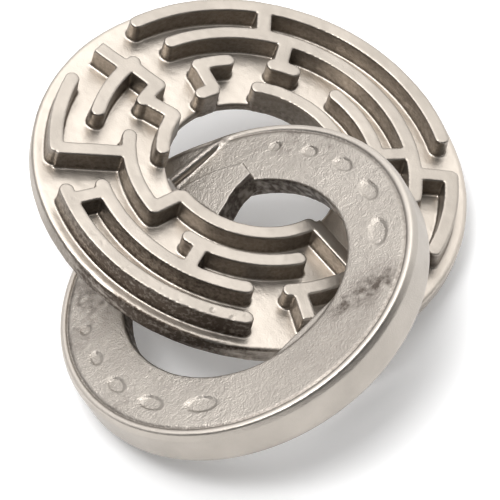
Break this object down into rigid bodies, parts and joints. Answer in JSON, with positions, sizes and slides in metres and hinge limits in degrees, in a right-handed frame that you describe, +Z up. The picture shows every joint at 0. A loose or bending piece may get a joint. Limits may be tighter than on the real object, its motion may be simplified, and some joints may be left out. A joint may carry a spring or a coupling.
{
  "type": "metal ring disentanglement puzzle",
  "caption": "Round plate with wall mazes cast on both faces, linked through a split ring whose slit carries facing guide pins.",
  "frame": {"origin": "on the ground plane, under the middle of the linked pair's bounding box", "axes": "+Z up from the surface the pair lies on; -Y towards the split ring, +Y towards the maze disc; +X to the side where the ring lies over the disc"},
  "size_m": [0.0448, 0.0574, 0.0181],
  "materials": {
    "maze_disc": "nickel-plated zinc casting, satin with dark scuffs",
    "split_ring": "nickel-plated zinc casting, granular face and smooth rim",
    "guide_pin_near": "plain turned steel",
    "guide_pin_far": "plain turned steel"
  },
  "bodies": {
    "maze_disc": {"maze_disc": "maze_disc"},
    "split_ring": {"split_ring": "split_ring", "guide_pin_near": "guide_pin_near", "guide_pin_far": "guide_pin_far"}
  },
  "joints": [
    {"name": "ring_swing", "type": "hinge", "parent": "maze_disc", "child": "split_ring", "pos_m": [-0.00021, -0.00169, 0.00873], "axis": [-0.0974, -0.9949, -0.0244], "range_deg": [0, 102]}
  ]
}
